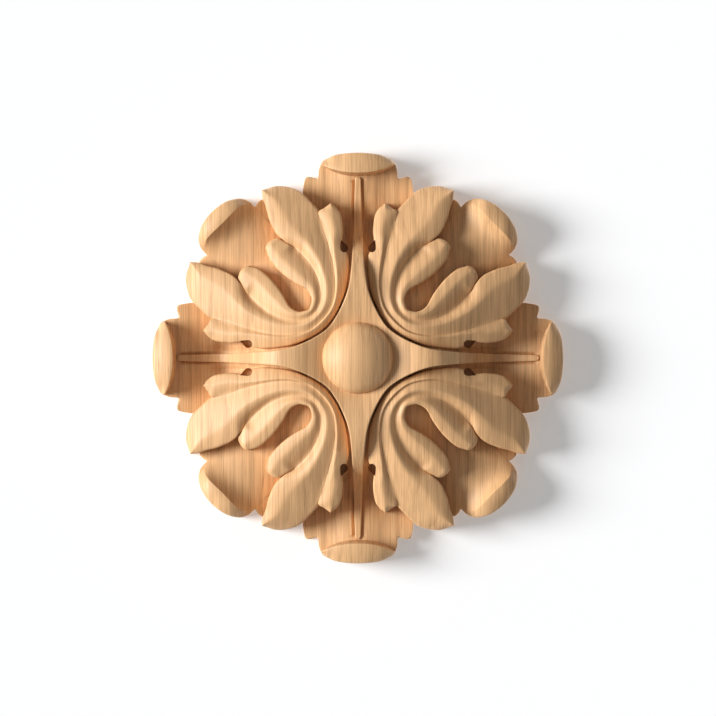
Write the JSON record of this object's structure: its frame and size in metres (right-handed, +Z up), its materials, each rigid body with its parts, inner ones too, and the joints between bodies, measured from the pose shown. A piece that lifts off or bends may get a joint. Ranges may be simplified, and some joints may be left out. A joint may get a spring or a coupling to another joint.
{
  "type": "carved rosette",
  "caption": "Carved wooden rosette with a round boss on a slender four-armed star, lipped petals and curled corner leaves round open eyelets, flat behind.",
  "frame": {"origin": "centre of the flat back, on the wall plane", "axes": "+Z up, along the grain and one arm of the star; +X to the right seen from the front; the carving faces -Y and the back faces +Y"},
  "size_m": [0.12, 0.028, 0.12],
  "materials": {
    "wood": "bare sanded light hardwood, matte"
  },
  "bodies": {
    "root": {"rosette": "wood"}
  },
  "joints": []
}
